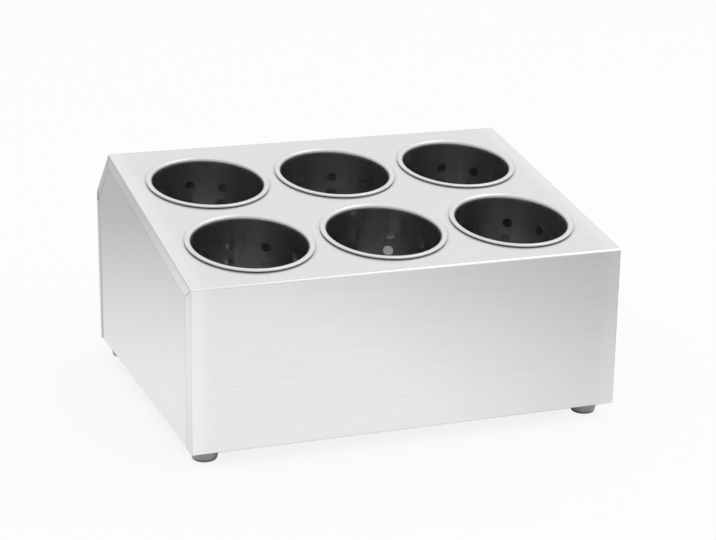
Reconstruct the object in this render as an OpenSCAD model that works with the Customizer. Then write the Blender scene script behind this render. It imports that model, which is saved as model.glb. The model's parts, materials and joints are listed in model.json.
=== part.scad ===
// Table-top cutlery dispenser: a folded sheet housing with a sloping top, and six perforated cups
// that hang in it by their rims and lift out. Right is +X, back is +Y, up is +Z. The origin is on
// the table, under the middle of the housing.

/* [Cups] */
// Outside diameter of a cup's wall
cup_d = 101.6; // [80:0.1:120]
// Depth of a cup, from the sheet its rim rests on to its underside
cup_h = 137; // [100:1:180]
// Sheet thickness of the cups
cup_t = 0.8; // [0.5:0.1:1]
// Width of the rim, beyond the wall
rim_w = 5; // [4.3:0.1:9]
// Outside radius of the roll at the rim's edge
roll_r = 1.1; // [0.9:0.1:1.4]
// Width of the hem rolled back under the rim
hem_w = 2.8; // [2:0.1:3.2]
// Inside radius of the bend from the wall to the rim
rim_bend = 2.8; // [2.7:0.1:3.4]
// Outside radius of the bend round the base
base_bend = 3; // [2:0.5:6]

/* [Cup perforation] */
// Diameter of the holes in the wall and the base
hole_d = 9.5; // [6:0.5:12]
// Number of holes in one row round the wall
row_holes = 10; // [6:1:12]
// Depth of the first row of holes below the rim
first_row = 26; // [18:1:40]
// Distance from one row of holes to the next
hole_pitch = 16; // [14:1:30]
// Height of the wall's plain band above the base
plain_band = 10; // [6:1:16]
// Number of drain holes in the base, round the middle one
drain_holes = 6; // [4:1:7]
// Radius of the circle of drain holes
drain_circle_r = 28; // [24:1:32]
// Which way each cup happens to be turned in its hole, front row first
cup_turn = [18.5, 24.5, 30, 20.5, 35.5, 8];

/* [Housing] */
// Sheet thickness of the housing
sheet_t = 1; // [0.8:0.1:1.5]
// Slope of the top, in degrees
slope = 10.25; // [6:0.25:14]
// Gap between the rims of neighbours in a row
rim_gap_x = 10.4; // [3:0.1:40]
// Gap between the rims of the two rows
rim_gap_y = 16; // [3:0.1:40]
// Sheet left beside the outer rims
side_margin = 17.2; // [8:0.1:40]
// Sheet left in front of the front rims, along the slope
front_margin = 18.1; // [8:0.1:40]
// Sheet left behind the back rims, along the slope
ridge_margin = 23.1; // [8:0.1:40]
// Clear height under the lowest edge of the front cups, above the housing's bottom edge
floor_gap = 13.3; // [10:0.1:30]
// Height that the back slope drops from the ridge
back_drop = 47; // [30:1:60]
// Angle of the back slope below level, in degrees
back_angle = 42.5; // [35:0.5:55]
// Outside radius of the bends between front, top, back slope and back
bend_r = 2.5; // [1.8:0.1:4]
// Outside radius of the bends along the side edges
edge_r = 1.6; // [1.3:0.1:2.2]

/* [Housing flanges] */
// Width of the flange beside the front wall
front_flange = 18; // [10:1:25]
// Width of the flange beside the sloping top
top_flange = 14.5; // [8:0.5:20]
// Width of the flange beside the back slope
chamfer_flange = 9; // [6:0.5:14]
// Width of the flange beside the back wall
back_flange = 6.5; // [5:0.5:14]
// Width of the returns along the bottom edges
bottom_return = 40; // [38:1:50]
// Width of the seam between two flanges at a corner
seam = 0.5; // [0.3:0.1:1]
// Height of the relief cut at the back shoulder
notch_h = 8; // [4:1:12]

/* [Feet] */
// Height of a foot
foot_h = 13; // [10:1:20]
// Diameter of a foot where it meets the housing
foot_top_d = 27.5; // [22:0.5:32]
// Diameter of a foot at the table
foot_bottom_d = 20.5; // [18:0.5:26]
// Radius of a foot's bottom edge
foot_round = 2; // [1:0.1:2.5]
// Distance from the housing's sides to the middle of a foot
foot_side_inset = 17.4; // [16:0.1:20]
// Distance from the housing's front and back to the middle of a foot
foot_end_inset = 24.2; // [18:0.1:26]
// Thickness of the rubber left above the recess for the screw head
foot_web = 4; // [3:0.5:5]
// Diameter of that recess
foot_recess_d = 10; // [9.5:0.5:12]

/* [Fasteners] */
// Diameter of the foot screws
screw_d = 4; // [3:0.5:5]
// Length of the foot screws under the head
screw_len = 12; // [11:0.5:16]
// Diameter of the screw head
screw_head_d = 8; // [6:0.5:9]
// Height of the screw head
screw_head_h = 2.6; // [2:0.1:3]
// Outside diameter of the washers
washer_d = 9; // [7:0.5:9]
// Thickness of the washers
washer_t = 0.8; // [0.5:0.1:1]
// Width of the nuts across their flats
nut_width = 7; // [5.5:0.5:8]
// Thickness of the nuts
nut_h = 3.2; // [2.4:0.1:4]

/* [Clearances] */
// Gap under a rim, so that a cup hangs free of the sheet
seat_gap = 0.2; // [0.1:0.1:0.5]
// Gap between a cup's wall and its hole in the top
hole_gap = 1.2; // [0.8:0.1:2]
// Gap between a cup's wall and the edge of its base, where they are welded
weld_gap = 0.05; // [0.05:0.05:0.2]
// Gap between a side panel's edge and the bend beside it
panel_gap = 0.3; // [0.2:0.1:1]
// Gap between the foot screws and the holes they pass through
screw_gap = 0.25; // [0.15:0.05:0.4]
// Gap between the foot screws and the nuts' threads
thread_gap = 0.05; // [0.03:0.01:0.1]

/* [Hidden] */
POSITIONS = ["front_left", "front_middle", "front_right", "back_left", "back_middle", "back_right"];
CORNERS = ["front_left", "front_right", "back_left", "back_right"];

$fn = 96;
cut = 1;
columns = 3;

cup_r = cup_d / 2;
rim_r = cup_r + rim_w;
column_pitch = 2 * rim_r + rim_gap_x;
row_pitch = 2 * rim_r + rim_gap_y;

// The housing is sized round its cups
body_w = (columns - 1) * column_pitch + 2 * (rim_r + side_margin);
front_cup = front_margin + rim_r;
slope_len = front_cup + row_pitch + rim_r + ridge_margin;
front_h = floor_gap + cup_h * cos(slope) + (cup_r - front_cup) * sin(slope);
ridge_y = slope_len * cos(slope);
ridge_h = front_h + slope_len * sin(slope);
body_d = ridge_y + back_drop / tan(back_angle);
shoulder_h = ridge_h - back_drop;

// Outside of the housing from the side, as [depth, height]. Face i goes from corner i to corner i + 1.
OUTLINE = [[0, 0], [0, front_h], [ridge_y, ridge_h], [body_d, shoulder_h], [body_d, 0]];
FRONT = 0;
TOP = 1;
CHAMFER = 2;
BACK = 3;
BOTTOM = 4;
FLANGE_W = [front_flange, top_flange, chamfer_flange, back_flange];

// The middle of a bend lies a hair closer to the faces than its radius, so that round and flat
// cross there instead of only touching
bend_seat = 0.99;

panel_inset = edge_r + panel_gap;
panel_step = bend_r + panel_gap;

foot_x = body_w / 2 - foot_side_inset;
foot_y = body_d / 2 - foot_end_inset;
foot_recess_h = foot_h - foot_web;
screw_hole_d = screw_d + 2 * screw_gap;
screw_seat = foot_recess_h - washer_t;
stack_top = foot_h + sheet_t;

rim_top = 2 * roll_r;
wall_top = rim_top - cup_t - rim_bend;
wall_foot = base_bend - cup_h;
lowest_row = -wall_foot - plain_band - hole_d / 2;
hole_rows = floor((lowest_row - first_row) / hole_pitch) + 1;

// ---- Lines along the outline ----

function corner(i) = OUTLINE[i % 5];
function heading(i) = let (d = corner(i + 1) - corner(i)) atan2(d.y, d.x);
function along(i) = [cos(heading(i)), sin(heading(i))];
function inward(i) = [sin(heading(i)), -cos(heading(i))];
function turn(i) = (heading(i + 4) - heading(i) + 720) % 360;

// Point near corner i that lies depth_a inside the face before it and depth_b inside the face after it
function inner_corner(i, depth_a, depth_b) =
    corner(i)
    + depth_a * inward(i + 4)
    - (depth_b - depth_a * cos(turn(i))) / sin(turn(i)) * along(i + 4);

// Extrudes a shape drawn as [depth, height] across the width, between two places
module across(from, to) {
    translate([from, 0, 0])
        rotate([90, 0, 90])
            linear_extrude(to - from)
                children();
}

module both_sides() {
    children();
    mirror([1, 0, 0])
        children();
}

// ---- Placing ----

// The housing's own frame has its front face at depth 0 and its bottom edge at height 0
module in_housing() {
    translate([0, -body_d / 2, foot_h])
        children();
}

// Extrudes a section, drawn as [width, depth below face i], along that face and a little past its ends
module along_face(i) {
    translate([0, corner(i).x, corner(i).y])
        rotate([heading(i) - 90, 0, 0])
            translate([0, 0, -bend_r])
                linear_extrude(norm(corner(i + 1) - corner(i)) + 2 * bend_r)
                    children();
}

// Middle of a cup's hole on the sloping top, with Z square to the sheet
module at_cup(i) {
    column = i % columns - (columns - 1) / 2;
    place = corner(TOP) + (front_cup + floor(i / columns) * row_pitch) * along(TOP);
    translate([column * column_pitch, place.x, place.y])
        rotate([slope, 0, 0])
            children();
}

module at_foot(i) {
    translate([(i % 2 == 0 ? -1 : 1) * foot_x, (i < 2 ? -1 : 1) * foot_y, 0])
        children();
}

module at_every_foot() {
    for (i = [0:len(CORNERS) - 1])
        at_foot(i)
            children();
}

// ---- Sections ----

// Sheet bent a quarter round, between the directions +X and -Y
module quarter_bend(r, t) {
    intersection() {
        difference() {
            circle(r);
            circle(r - t);
        }
        translate([0, -r])
            square(r);
    }
}

// Wall of a cup, bent out into the rim and rolled back under it, as [radius, height]
module cup_section() {
    translate([cup_r - cup_t, wall_foot + weld_gap])
        square([cup_t, wall_top - wall_foot - weld_gap]);
    translate([cup_r + rim_bend, wall_top])
        rotate(180)
            quarter_bend(rim_bend + cup_t, cup_t);
    translate([cup_r + rim_bend, rim_top - cup_t])
        square([rim_w - rim_bend - roll_r, cup_t]);
    translate([rim_r - roll_r, roll_r])
        for (angle = [0, 90])
            rotate(angle)
                quarter_bend(roll_r, cup_t);
    translate([rim_r - hem_w, 0])
        square([hem_w - roll_r, cup_t]);
}

// Pressed pan that closes a cup flush with its wall, as [radius, height]
module base_section() {
    translate([0, -cup_h])
        square([cup_r - base_bend, cup_t]);
    translate([cup_r - base_bend, wall_foot])
        quarter_bend(base_bend, cup_t);
}

// Tapered foot with a rounded bottom edge, as [radius, height]
module foot_section() {
    top_r = foot_top_d / 2;
    bottom_r = foot_bottom_d / 2;
    flare = top_r - bottom_r;
    side_len = norm([flare, foot_h]);
    outward = [foot_h, -flare] / side_len;
    seat = bend_seat * foot_round;
    middle = [bottom_r - seat * (side_len - flare) / foot_h, seat];
    difference() {
        polygon([[0, 0], [bottom_r, 0], [top_r, foot_h], [0, foot_h]]);
        difference() {
            polygon([
                middle, [middle.x, -cut], [bottom_r + cut, -cut], middle + (seat + cut) * outward
            ]);
            translate(middle)
                circle(foot_round);
        }
        translate([0, -cut])
            square([screw_hole_d / 2, foot_h + 2 * cut]);
        translate([0, -cut])
            square([foot_recess_d / 2, foot_recess_h + cut]);
    }
}

// ---- Housing ----

// What a bend of radius r takes off corner i, for a surface that lies inset below the outline
module corner_waste(i, inset, r) {
    seat = bend_seat * r;
    middle = inner_corner(i, seat, seat);
    reach = seat - inset + cut;
    difference() {
        polygon([
            middle,
            middle - reach * inward(i + 4),
            inner_corner(i, inset - cut, inset - cut),
            middle - reach * inward(i)
        ]);
        translate(middle)
            circle(r - inset);
    }
}

// What the bend along a side edge takes off, drawn as [width, depth]
module edge_waste(inset) {
    seat = bend_seat * edge_r;
    difference() {
        translate([body_w / 2 - seat, inset - cut])
            square([seat - inset + cut, seat - inset + cut]);
        translate([body_w / 2 - seat, seat])
            circle(edge_r - inset);
    }
}

// The housing's rounded wedge, or the surface that lies inset below it
module rounded_wedge(inset) {
    difference() {
        across(inset - body_w / 2, body_w / 2 - inset)
            polygon([for (i = [FRONT:BOTTOM]) inner_corner(i, inset, inset)]);
        for (i = [FRONT:BOTTOM])
            across(-body_w / 2 - cut, body_w / 2 + cut)
                corner_waste(i, inset, bend_r);
        both_sides()
            for (i = [FRONT:BACK])
                along_face(i)
                    edge_waste(inset);
    }
}

// Opening in a side between the flanges, from the side
module side_window() {
    polygon([
        [front_flange, -cut],
        inner_corner(TOP, front_flange, top_flange),
        inner_corner(CHAMFER, top_flange, chamfer_flange),
        inner_corner(BACK, chamfer_flange, back_flange),
        [body_d - back_flange, -cut]
    ]);
}

// Saw-thin seams where the flanges meet, from each bend to their inner ends
module seam_shapes() {
    for (i = [TOP:BACK]) {
        from = inner_corner(i, bend_r, bend_r);
        reach = inner_corner(i, FLANGE_W[i - 1], FLANGE_W[i]) - from;
        translate(from)
            rotate(atan2(reach.y, reach.x))
                translate([0, -seam / 2])
                    square([norm(reach) + cut, seam]);
    }
}

// Relief cut at the back shoulder, where three bends meet. It leaves the outer skin of the side bend.
module shoulder_relief() {
    inner_r = edge_r - sheet_t;
    translate([body_w / 2 - edge_r, body_d - back_flange - cut, shoulder_h - notch_h])
        cube([edge_r + cut, back_flange + cut - inner_r, notch_h]);
}

module screw_holes() {
    translate([0, body_d / 2, -cut])
        at_every_foot()
            cylinder(d = screw_hole_d, h = sheet_t + 2 * cut);
}

module cup_holes() {
    for (i = [0:len(POSITIONS) - 1])
        at_cup(i)
            translate([0, 0, -sheet_t - cut])
                cylinder(r = cup_r + hole_gap, h = sheet_t + 2 * cut);
}

// The underside is open between the returns, which also leave a slot for each side panel's edge
module bottom_openings() {
    slot = sheet_t + panel_gap;
    translate([-body_w / 2, bottom_return, -cut])
        cube([body_w, body_d - 2 * bottom_return, sheet_t + 2 * cut]);
    both_sides()
        translate([body_w / 2 - sheet_t - slot, bend_r, -cut])
            cube([slot, body_d - 2 * bend_r, sheet_t + 2 * cut]);
}

module housing_wrap() {
    color("gainsboro")
        in_housing()
            difference() {
                rounded_wedge(0);
                rounded_wedge(sheet_t);
                both_sides()
                    across(body_w / 2 - edge_r, body_w / 2 + cut) {
                        side_window();
                        seam_shapes();
                    }
                both_sides()
                    shoulder_relief();
                bottom_openings();
                cup_holes();
                screw_holes();
            }
}

// The flat panel on the right, set behind the flanges. Its lower corners are stepped round the bends
// between the walls and the bottom returns.
module side_panel() {
    in_housing()
        across(body_w / 2 - 2 * sheet_t, body_w / 2 - sheet_t)
            polygon([
                [panel_step, 0],
                [panel_step, panel_step],
                [panel_inset, panel_step],
                inner_corner(TOP, panel_inset, panel_inset),
                inner_corner(CHAMFER, panel_inset, panel_inset),
                inner_corner(BACK, panel_inset, panel_inset),
                [body_d - panel_inset, panel_step],
                [body_d - panel_step, panel_step],
                [body_d - panel_step, 0]
            ]);
}

module left_side_panel() {
    color("lightgray")
        mirror([1, 0, 0])
            side_panel();
}

module right_side_panel() {
    color("lightgray")
        side_panel();
}

// ---- Cups ----

module wall_holes() {
    for (row = [0:hole_rows - 1], i = [0:row_holes - 1])
        rotate(i * 360 / row_holes)
            translate([cup_r, 0, -first_row - row * hole_pitch])
                rotate([0, 90, 0])
                    cylinder(d = hole_d, h = 2 * (cup_t + cut), center = true);
}

module drain_pattern() {
    circle(d = hole_d);
    for (i = [0:drain_holes - 1])
        rotate(i * 360 / drain_holes)
            translate([drain_circle_r, 0])
                circle(d = hole_d);
}

// A cup as it hangs, turned the way it happens to stand
module in_cup(i) {
    in_housing()
        at_cup(i)
            translate([0, 0, seat_gap])
                rotate(cup_turn[i])
                    children();
}

module cup(i) {
    color("silver")
        in_cup(i)
            difference() {
                rotate_extrude()
                    cup_section();
                wall_holes();
            }
}

module cup_base(i) {
    color("darkgray")
        in_cup(i)
            difference() {
                rotate_extrude()
                    base_section();
                translate([0, 0, -cup_h - cut])
                    linear_extrude(cup_t + 2 * cut)
                        drain_pattern();
            }
}

// ---- Feet and their fasteners ----

module foot(i) {
    color("dimgray")
        at_foot(i)
            rotate_extrude()
                foot_section();
}

module washer() {
    difference() {
        cylinder(d = washer_d, h = washer_t);
        translate([0, 0, -cut])
            cylinder(d = screw_hole_d, h = washer_t + 2 * cut);
    }
}

module foot_inner_washers() {
    color("slategray")
        at_every_foot()
            translate([0, 0, screw_seat])
                washer();
}

// A pan head with a cross recess, facing the table
module foot_screws() {
    slot_w = screw_d / 4;
    slot_l = screw_head_d / 2;
    slot_h = screw_head_h / 2;
    color("slategray")
        at_every_foot()
            difference() {
                union() {
                    translate([0, 0, screw_seat - screw_head_h])
                        intersection() {
                            cylinder(d = screw_head_d, h = screw_head_h);
                            translate([0, 0, screw_head_d])
                                sphere(screw_head_d);
                        }
                    translate([0, 0, screw_seat - cut])
                        cylinder(d = screw_d, h = screw_len + cut);
                }
                for (angle = [0, 90])
                    rotate(angle)
                        translate([-slot_l / 2, -slot_w / 2, screw_seat - screw_head_h - cut])
                            cube([slot_l, slot_w, slot_h + cut]);
            }
}

module foot_washers() {
    color("slategray")
        at_every_foot()
            translate([0, 0, stack_top])
                washer();
}

// Hexagonal nuts with their outer corners turned off
module foot_nuts() {
    corner_r = nut_width / 2 / cos(30);
    turned = corner_r - nut_width / 2;
    color("slategray")
        at_every_foot()
            translate([0, 0, stack_top + washer_t])
                difference() {
                    intersection() {
                        cylinder(r = corner_r, h = nut_h, $fn = 6);
                        rotate_extrude()
                            polygon([
                                [0, 0], [corner_r, 0], [corner_r, nut_h - turned],
                                [corner_r - turned, nut_h], [0, nut_h]
                            ]);
                    }
                    translate([0, 0, -cut])
                        cylinder(r = screw_d / 2 + thread_gap, h = nut_h + 2 * cut);
                }
}

housing_wrap();
left_side_panel();
right_side_panel();
for (i = [0:len(POSITIONS) - 1]) {
    cup(i);
    cup_base(i);
}
for (i = [0:len(CORNERS) - 1])
    foot(i);
foot_inner_washers();
foot_screws();
foot_washers();
foot_nuts();
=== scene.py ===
import json
import math

import bpy
from mathutils import Matrix, Vector


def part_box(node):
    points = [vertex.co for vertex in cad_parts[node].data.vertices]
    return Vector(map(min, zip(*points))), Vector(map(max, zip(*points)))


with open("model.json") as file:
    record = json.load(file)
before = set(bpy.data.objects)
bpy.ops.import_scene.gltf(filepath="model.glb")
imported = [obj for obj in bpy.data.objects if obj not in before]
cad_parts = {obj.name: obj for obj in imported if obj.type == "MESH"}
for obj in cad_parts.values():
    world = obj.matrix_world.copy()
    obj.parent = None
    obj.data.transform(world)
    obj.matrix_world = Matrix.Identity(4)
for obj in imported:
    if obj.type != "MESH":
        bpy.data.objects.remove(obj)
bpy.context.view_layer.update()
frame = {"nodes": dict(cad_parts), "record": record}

# ---- What the CAD says ----

wrap = frame["nodes"]["housing_wrap"]
wrap_low, wrap_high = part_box("housing_wrap")
cup_axis = Vector(frame["record"]["behaviour"]["joints"][0]["axis"])

BACK_ANGLE = math.radians(42.5)   # slope of the housing's back slope, below level

# Each outer face of the housing wrap, as its outward normal and the width of its side flange
FACES = {
    "front": (Vector((0, -1, 0)), 0.018),
    "top": (cup_axis, 0.0145),
    "chamfer": (Vector((0, math.sin(BACK_ANGLE), math.cos(BACK_ANGLE))), 0.009),
    "back": (Vector((0, 1, 0)), 0.0065),
}
# Painted light and shade: tone of each side flange beside that of the faces, at the foot and at the ridge
# of the housing
FLANGE_PAINTED_LIGHT = {
    "front": (0.84, 1.19),
    "top": (1.13, 1.12),
    "chamfer": (1.02, 1.02),
    "back": (1.14, 1),
}


def level_of(obj, normal):
    """How far the object reaches along a direction from the origin."""
    return max(vertex.co.dot(normal) for vertex in obj.data.vertices)


top_level = level_of(wrap, cup_axis)
rim_level = level_of(frame["nodes"]["cup_front_left"], cup_axis)

# ---- Node helpers ----


def socket_named(sockets, name, kind):
    return next(s for s in sockets if s.name == name and s.type == kind)


class Nodes:
    """Short calls for building a node tree. Lengths in it are metres."""

    def __init__(self, tree):
        self.tree = tree

    def add(self, kind, *values, **settings):
        node = self.tree.nodes.new("ShaderNode" + kind)
        for key, value in settings.items():
            setattr(node, key, value)
        sockets = [s for s in node.inputs if s.enabled and not s.is_unavailable]
        for socket, value in zip(sockets, values):
            self.feed(socket, value)
        return node

    def feed(self, socket, value):
        if isinstance(value, bpy.types.NodeSocket):
            self.tree.links.new(value, socket)
        elif value is not None:
            socket.default_value = value

    def math(self, operation, *values):
        return self.add("Math", *values, operation=operation).outputs[0]

    def total(self, *values):
        result = values[0]
        for value in values[1:]:
            result = self.math("ADD", result, value)
        return result

    def times(self, a, b):
        return self.math("MULTIPLY", a, b)

    def vector(self, operation, *values):
        node = self.add("VectorMath", *values, operation=operation)
        return node.outputs["Value" if operation in ("DOT_PRODUCT", "LENGTH") else "Vector"]

    def xyz(self, vector):
        return self.add("SeparateXYZ", vector).outputs

    def place(self):
        return self.add("TexCoord").outputs["Object"]

    def noise(self, place, scale, detail=2.0, rough=0.5):
        node = self.add("TexNoise")
        self.feed(node.inputs["Vector"], place)
        for name, value in (("Scale", scale), ("Detail", detail), ("Roughness", rough)):
            self.feed(node.inputs[name], value)
        return node.outputs["Fac"]

    def span(self, value, low, high, to_low, to_high, smooth=False):
        node = self.add("MapRange", interpolation_type="SMOOTHSTEP" if smooth else "LINEAR", clamp=True)
        names = ("Value", "From Min", "From Max", "To Min", "To Max")
        for name, number in zip(names, (value, low, high, to_low, to_high)):
            self.feed(node.inputs[name], number)
        return node.outputs["Result"]

    def vary(self, noise, to_low, to_high):
        """Spreads a noise's usual values over a range."""
        return self.span(noise, 0.3, 0.7, to_low, to_high)

    def blend(self, factor, a, b, kind="VECTOR"):
        node = self.add("Mix", data_type="RGBA" if kind == "RGBA" else "VECTOR")
        self.feed(node.inputs["Factor"], factor)
        self.feed(socket_named(node.inputs, "A", kind), a)
        self.feed(socket_named(node.inputs, "B", kind), b)
        return socket_named(node.outputs, "Result", kind)

    def grey(self, level):
        return self.add("CombineColor", level, level, level).outputs[0]

    def corner_shade(self, reach, least):
        """Paints shade into a tone: darkens it in inner corners and beside the edge of a sheet that lies on
        another.
        """
        corner = self.add("AmbientOcclusion", samples=8)
        self.feed(corner.inputs["Distance"], reach)
        return self.span(corner.outputs["AO"], 0.45, 0.95, least, 1)

    def bump(self, height, depth, strength, under=None):
        node = self.add("Bump")
        names = ("Strength", "Distance", "Height", "Normal")
        for name, value in zip(names, (strength, depth, height, under)):
            self.feed(node.inputs[name], value)
        return node.outputs["Normal"]


class Finish(Nodes):
    """A material with one Principled shader."""

    def __init__(self, name, **sockets):
        self.material = bpy.data.materials.new(name)
        self.material.use_nodes = True
        super().__init__(self.material.node_tree)
        self.shader = self.tree.nodes["Principled BSDF"]
        self.set(**sockets)

    def set(self, **sockets):
        for name, value in sockets.items():
            self.feed(self.shader.inputs[name.replace("_", " ")], value)


# ---- Steel ----

HAIR_GRAIN = (22, 3200, 3200)      # how often the finest scratches repeat per metre, along and across
STREAK_GRAIN = (7, 330, 330)       # and the broader streaks
CLOUDS = 14                        # and the soft clouds in the polish
SIDEWAYS = 0.7                     # a surface whose normal has more X than this is on a side flange
SHADE_REACH = 0.004                       # painted shade: how far an inner corner or an overlap darkens the sheet beside it
SHADE_TONE = 0.6
EDGE_SHADE_LINE = (0.9, 0.96, 0.72)      # painted shade: share of a flange's width where its dark edge line starts and ends, its tone
BEND_PAINTED_HIGHLIGHT = (0.002, 0.022, 1.07)   # painted highlight: from and to this far from a side bend, and how much lighter at the bend
DRAW_MARKS = (900, 900, 12)        # how often the cups' upright marks repeat per metre
RIM_TONE_AND_SHADE = (0.6, 0.88)            # painted shade down the rim's two sides, and the tone on its crown
RIM_SIDES = (0.0016, 0.0004)       # these tones are reached this far below the crown
# painted shade: tone of the wall inside the cup, darker than the crown
WALL_PAINTED_SHADE = 0.74
WALL_START = (0.004, 0.0005)       # the wall's painted shade fades in between these depths below the top face
CUP_GRAIN = 2600                   # how often the fine grain of the cups repeats per metre
SPANGLE = 900                      # and that of the zinc plate


def brushed(name, level, rough, grain):
    """Brushed stainless sheet, with painted shade in its inner corners. grain(finish) gives the direction
    of the grain, a place in metres whose X runs along it, and a factor for the tone that holds painted
    light and shade."""
    f = Finish(name, Metallic=1.0, Anisotropic=0.6, Anisotropic_Rotation=0.25)
    direction, place, painted_light = grain(f)
    hair = f.noise(f.vector("MULTIPLY", place, HAIR_GRAIN), 1.0, 2.0, 0.6)
    streak = f.noise(f.vector("MULTIPLY", place, STREAK_GRAIN), 1.0, 3.0, 0.55)
    cloud = f.noise(f.place(), CLOUDS, 2.0, 0.5)
    tone = f.total(level, f.vary(hair, -0.02, 0.02), f.vary(streak, -0.012, 0.012))
    # Painted shade in the inner corners, and the grain's painted light and shade, change the tone
    f.set(Base_Color=f.grey(f.times(f.times(tone, painted_light), f.corner_shade(SHADE_REACH, SHADE_TONE))))
    uneven = f.total(f.times(hair, 0.10), f.times(streak, 0.04), f.times(cloud, 0.05))
    f.set(Roughness=f.total(uneven, rough - 0.095))   # the unevenness is 0.095 on average
    f.set(Normal=f.bump(hair, 0.00002, 0.3, f.bump(streak, 0.00001, 0.2)), Tangent=direction)
    return f.material


def grain_of_wrap(f):
    """Across the width on the four faces, and square to the nearest bend on the side flanges, because
    the same sheet is folded round there. The tone also carries painted light: each side flange is
    lighter or darker than the faces by height, a flange ends in a thin line of painted shade, and the
    faces have a painted highlight beside their side bends."""
    place = f.place()
    height = f.xyz(place)[2]
    run, nearest, flange_painted_light = None, None, None
    for face, (normal, flange) in FACES.items():
        # Painted light and shade: the flange's tone changes from the foot to the ridge
        this_painted_light = f.span(height, wrap_low.z, wrap_high.z, *FLANGE_PAINTED_LIGHT[face])
        below = f.math("SUBTRACT", level_of(wrap, normal), f.vector("DOT_PRODUCT", place, normal))
        share = f.math("DIVIDE", below, flange)
        if run is None:
            run, nearest, flange_painted_light = normal, share, this_painted_light
            continue
        closer = f.math("LESS_THAN", share, nearest)
        run = f.blend(closer, run, normal)
        flange_painted_light = f.span(closer, 0, 1, flange_painted_light, this_painted_light)
        nearest = f.math("MINIMUM", share, nearest)
    # Painted shade: a thin dark line along each flange's free edge
    line_start, line_end, shade_line_tone = EDGE_SHADE_LINE
    flange_painted_light = f.times(flange_painted_light, f.span(nearest, line_start, line_end, 1, shade_line_tone, True))
    # Painted highlight: the faces are a little lighter beside their side bends
    near, far, painted_glow = BEND_PAINTED_HIGHLIGHT
    from_side = f.math("SUBTRACT", wrap_high.x, f.math("ABSOLUTE", f.xyz(place)[0]))
    sheet_painted_highlight = f.span(from_side, near, far, painted_glow, 1, True)
    along = f.vector("DOT_PRODUCT", place, run)
    across = f.vector("DOT_PRODUCT", f.vector("CROSS_PRODUCT", place, run), (1, 0, 0))
    folded = f.add("CombineXYZ", along, across, 0.0).outputs[0]
    facing = f.math("ABSOLUTE", f.xyz(f.add("TexCoord").outputs["Normal"])[0])
    on_side = f.math("GREATER_THAN", facing, SIDEWAYS)
    tone = f.span(on_side, 0, 1, sheet_painted_highlight, flange_painted_light)
    return f.blend(on_side, (1, 0, 0), run), f.blend(on_side, place, folded), tone


def grain_of_panel(f):
    """Along the depth of the side panels, in one tone."""
    place = f.xyz(f.place())
    return (0, 1, 0), f.add("CombineXYZ", place[1], place[2], place[0]).outputs[0], 1


def cup_steel(name):
    """Satin cup: a bright rim with painted shade down its two sides, and a smoother wall below it, darkened
    by painted shade.
    """
    f = Finish(name, Metallic=1.0)
    place = f.place()
    level = f.vector("DOT_PRODUCT", place, cup_axis)
    wall = f.span(level, top_level - WALL_START[0], top_level - WALL_START[1], 1, 0, True)
    drawn = f.noise(f.vector("MULTIPLY", place, DRAW_MARKS), 1.0, 2.0, 0.5)
    fine = f.noise(place, CUP_GRAIN, 2.0, 0.5)
    # Painted shade down the rim's two sides, and on the wall inside the cup
    rim_and_shade = f.span(level, rim_level - RIM_SIDES[0], rim_level - RIM_SIDES[1], *RIM_TONE_AND_SHADE, True)
    tone = f.span(wall, 0, 1, rim_and_shade, WALL_PAINTED_SHADE)
    f.set(Base_Color=f.grey(f.times(f.vary(drawn, 0.93, 1.07), tone)))
    f.set(Roughness=f.total(f.span(wall, 0, 1, 0.3, 0.17), f.times(fine, 0.06)))
    f.set(Normal=f.bump(drawn, 0.00004, 0.2, f.bump(fine, 0.00001, 0.2)))
    return f.material


def plated(name):
    """Bright zinc plate with a fine spangle."""
    f = Finish(name, Metallic=1.0)
    spangle = f.noise(f.place(), SPANGLE, 3.0, 0.6)
    f.set(Base_Color=f.grey(f.vary(spangle, 0.55, 0.67)))
    f.set(Roughness=f.vary(spangle, 0.28, 0.42))
    f.set(Normal=f.bump(spangle, 0.00002, 0.3))
    return f.material


# ---- Rubber ----

RUBBER_GRAIN = 2200            # how often the grain and the clouds repeat per metre
RUBBER_CLOUDS = 120
SOLE_SHADE = (0.0015, 0.0035, 0.5)   # painted shade: the foot is darker below the first height, up to the second, and how much


def rubber(name):
    """Grey rubber with a fine grain, and painted shade along the rim where it stands."""
    f = Finish(name, Specular_IOR_Level=0.5)
    grain = f.noise(f.place(), RUBBER_GRAIN, 3.0, 0.6)
    cloud = f.noise(f.place(), RUBBER_CLOUDS, 2.0, 0.5)
    # Painted shade: the foot is darker at its lower rim
    sole_shade = f.span(f.xyz(f.place())[2], SOLE_SHADE[0], SOLE_SHADE[1], SOLE_SHADE[2], 1, True)
    f.set(Base_Color=f.grey(f.times(f.vary(cloud, 0.34, 0.46), sole_shade)))
    f.set(Roughness=f.vary(grain, 0.24, 0.34))
    f.set(Normal=f.bump(grain, 0.00008, 0.4))
    return f.material


# ---- Which node has which finish, by how its name starts ----

finish_of = {
    "housing_wrap": brushed("brushed_steel_wrap", 0.88, 0.2, grain_of_wrap),
    "left_side_panel": brushed("brushed_steel_panel", 0.86, 0.22, grain_of_panel),
    "cup_": cup_steel("satin_steel_cup"),
    "foot_screws": plated("zinc_fasteners"),
    "foot_": rubber("foot_rubber"),
}
finish_of["right_side_panel"] = finish_of["left_side_panel"]
for fastener in ("foot_nuts", "foot_washers", "foot_inner_washers"):
    finish_of[fastener] = finish_of["foot_screws"]
longest_first = sorted(finish_of, key=len, reverse=True)

for name, obj in frame["nodes"].items():
    start = next(key for key in longest_first if name.startswith(key))
    obj.data.materials.clear()
    obj.data.materials.append(finish_of[start])

# ---- Studio ----

scene = bpy.context.scene
scene.view_settings.view_transform = "Standard"

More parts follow.
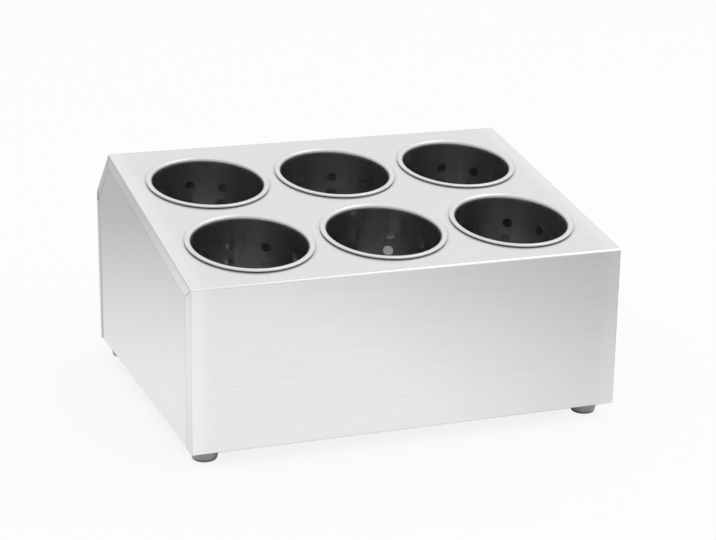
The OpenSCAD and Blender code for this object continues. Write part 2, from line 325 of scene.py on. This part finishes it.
SKY = 0.86                 # brightness of the room overhead
HORIZON_FRONT = 0.4        # level with the object, in front of it
HORIZON_BACK = 0.3         # and behind it to the left
BACK_LEFT = (-0.8, 0.6, 0)
HORIZON = 0.02             # how far up a direction points where the horizon's darkness starts to fade
BAND_FRONT = 0.3           # and where it ends, in front and to the sides
BAND_BACK = 0.5            # and behind to the left
WHITE = 1.04               # what the camera sees of the paper
PAPER_GLOW = 0.82          # share of the paper that is plain white, so that it keeps a light shadow
PAPER_GREY = 0.8           # colour of the rest, which takes the shadow
UNDER_EDGE = 0.02          # the painted shadow on the paper under the housing fades out over this width
POOL = (-0.2, -0.3, 0)     # middle of the painted pool of light on the paper, which the steel reflects
POOL_RADII = (0.46, 0.7)   # across and along
PAINTED_POOL_INSIDE = (0.55, 0.99)   # up to this many radii out the painted pool has this brightness
PAINTED_POOL_OUTSIDE = (1.4, 0.5)     # and from this many radii out, this one

world = bpy.data.worlds.new("studio")
world.use_nodes = True
scene.world = world
w = Nodes(world.node_tree)
direction = w.add("TexCoord").outputs["Generated"]
behind = w.vector("DOT_PRODUCT", direction, BACK_LEFT)
horizon = w.span(behind, -1, 1, HORIZON_FRONT, HORIZON_BACK)
band = w.span(behind, 0, 1, BAND_FRONT, BAND_BACK)
room = w.span(w.xyz(direction)[2], HORIZON, band, horizon, SKY, True)
w.feed(world.node_tree.nodes["Background"].inputs["Color"], w.grey(room))


def plane(name, centre, size, facing):
    """A flat sheet that doesn't count as part of the object."""
    x, y = size[0] / 2, size[1] / 2
    mesh = bpy.data.meshes.new(name)
    mesh.from_pydata([(-x, -y, 0), (x, -y, 0), (x, y, 0), (-x, y, 0)], [], [(0, 1, 2, 3)])
    obj = bpy.data.objects.new(name, mesh)
    scene.collection.objects.link(obj)
    obj.location = centre
    obj.rotation_mode = "QUATERNION"
    obj.rotation_quaternion = Vector(facing).to_track_quat("Z", "Y")
    return obj


def white_paper(name):
    """Paper that is white to the camera. The object sees a painted pool of light on it, which fades away
    from the middle, and painted shadow under the housing, where the paper gives no light."""
    material = bpy.data.materials.new(name)
    material.use_nodes = True
    n = Nodes(material.node_tree)
    n.tree.nodes.clear()
    place = n.add("NewGeometry").outputs["Position"]
    path = n.add("LightPath").outputs
    radii = (1 / POOL_RADII[0], 1 / POOL_RADII[1], 1)
    # Painted pool of light that the steel reflects
    out = n.vector("LENGTH", n.vector("MULTIPLY", n.vector("SUBTRACT", place, POOL), radii))
    painted_pool = n.span(out, PAINTED_POOL_INSIDE[0], PAINTED_POOL_OUTSIDE[0], PAINTED_POOL_INSIDE[1], PAINTED_POOL_OUTSIDE[1])
    x, y = (n.math("ABSOLUTE", v) for v in n.xyz(place)[:2])
    # Painted shadow: the paper gives no light under the housing
    under_x = n.span(x, wrap_high.x - UNDER_EDGE, wrap_high.x, 0, 1, True)
    under_y = n.span(y, wrap_high.y - UNDER_EDGE, wrap_high.y, 0, 1, True)
    clear = n.math("MAXIMUM", under_x, under_y)
    white = (WHITE, WHITE, WHITE, 1)
    painted_glow = n.blend(path["Is Camera Ray"], n.grey(n.times(painted_pool, clear)), white, "RGBA")
    seen = n.math("MAXIMUM", path["Is Camera Ray"], path["Is Glossy Ray"])
    seen = n.math("MAXIMUM", seen, path["Is Transmission Ray"])
    surface = n.add("MixShader", n.times(seen, PAPER_GLOW))
    n.feed(surface.inputs[1], n.add("BsdfDiffuse", (PAPER_GREY, PAPER_GREY, PAPER_GREY, 1)).outputs[0])
    n.feed(surface.inputs[2], n.add("Emission", painted_glow).outputs[0])
    n.feed(n.add("OutputMaterial").inputs["Surface"], surface.outputs[0])
    return material


floor = plane("studio_floor", (0, 0, 0), (30, 30), (0, 0, 1))
floor.data.materials.append(white_paper("white_paper"))


def soft_light(name, place, aim, size, power):
    """A rectangular lamp at a place, turned towards an aim."""
    data = bpy.data.lights.new(name, "AREA")
    data.shape = "RECTANGLE"
    data.size, data.size_y = size
    data.energy = power
    obj = bpy.data.objects.new(name, data)
    scene.collection.objects.link(obj)
    obj.location = place
    obj.rotation_mode = "QUATERNION"
    obj.rotation_quaternion = (Vector(place) - Vector(aim)).to_track_quat("Z", "Y")


soft_light("overhead_softbox", (1.1, -0.4, 1.9), (0, 0, 0.1), (1.6, 1.2), 3.5)

# ---- Camera, fitted to the photograph's corners and rims ----

CAMERA = Vector((-0.5916995, -1.5792913, 0.6160248))
# How far it stands to the left of the front, looks down, and is rolled
AZIMUTH, ELEVATION, ROLL = (math.radians(v) for v in (-20.89926, 16.7262, 0.85658))
forward = Vector((
    -math.sin(AZIMUTH) * math.cos(ELEVATION),
    math.cos(AZIMUTH) * math.cos(ELEVATION),
    -math.sin(ELEVATION),
))
level_right = forward.cross(Vector((0, 0, 1))).normalized()
level_up = level_right.cross(forward)
right = math.cos(ROLL) * level_right + math.sin(ROLL) * level_up
up = math.cos(ROLL) * level_up - math.sin(ROLL) * level_right
lens_data = bpy.data.cameras.new("camera")
lens_data.lens = 95.99969
lens_data.sensor_width = 36
camera = bpy.data.objects.new("camera", lens_data)
scene.collection.objects.link(camera)
camera.matrix_world = Matrix((
    (right.x, up.x, -forward.x, CAMERA.x),
    (right.y, up.y, -forward.y, CAMERA.y),
    (right.z, up.z, -forward.z, CAMERA.z),
    (0, 0, 0, 1),
))
scene.camera = camera
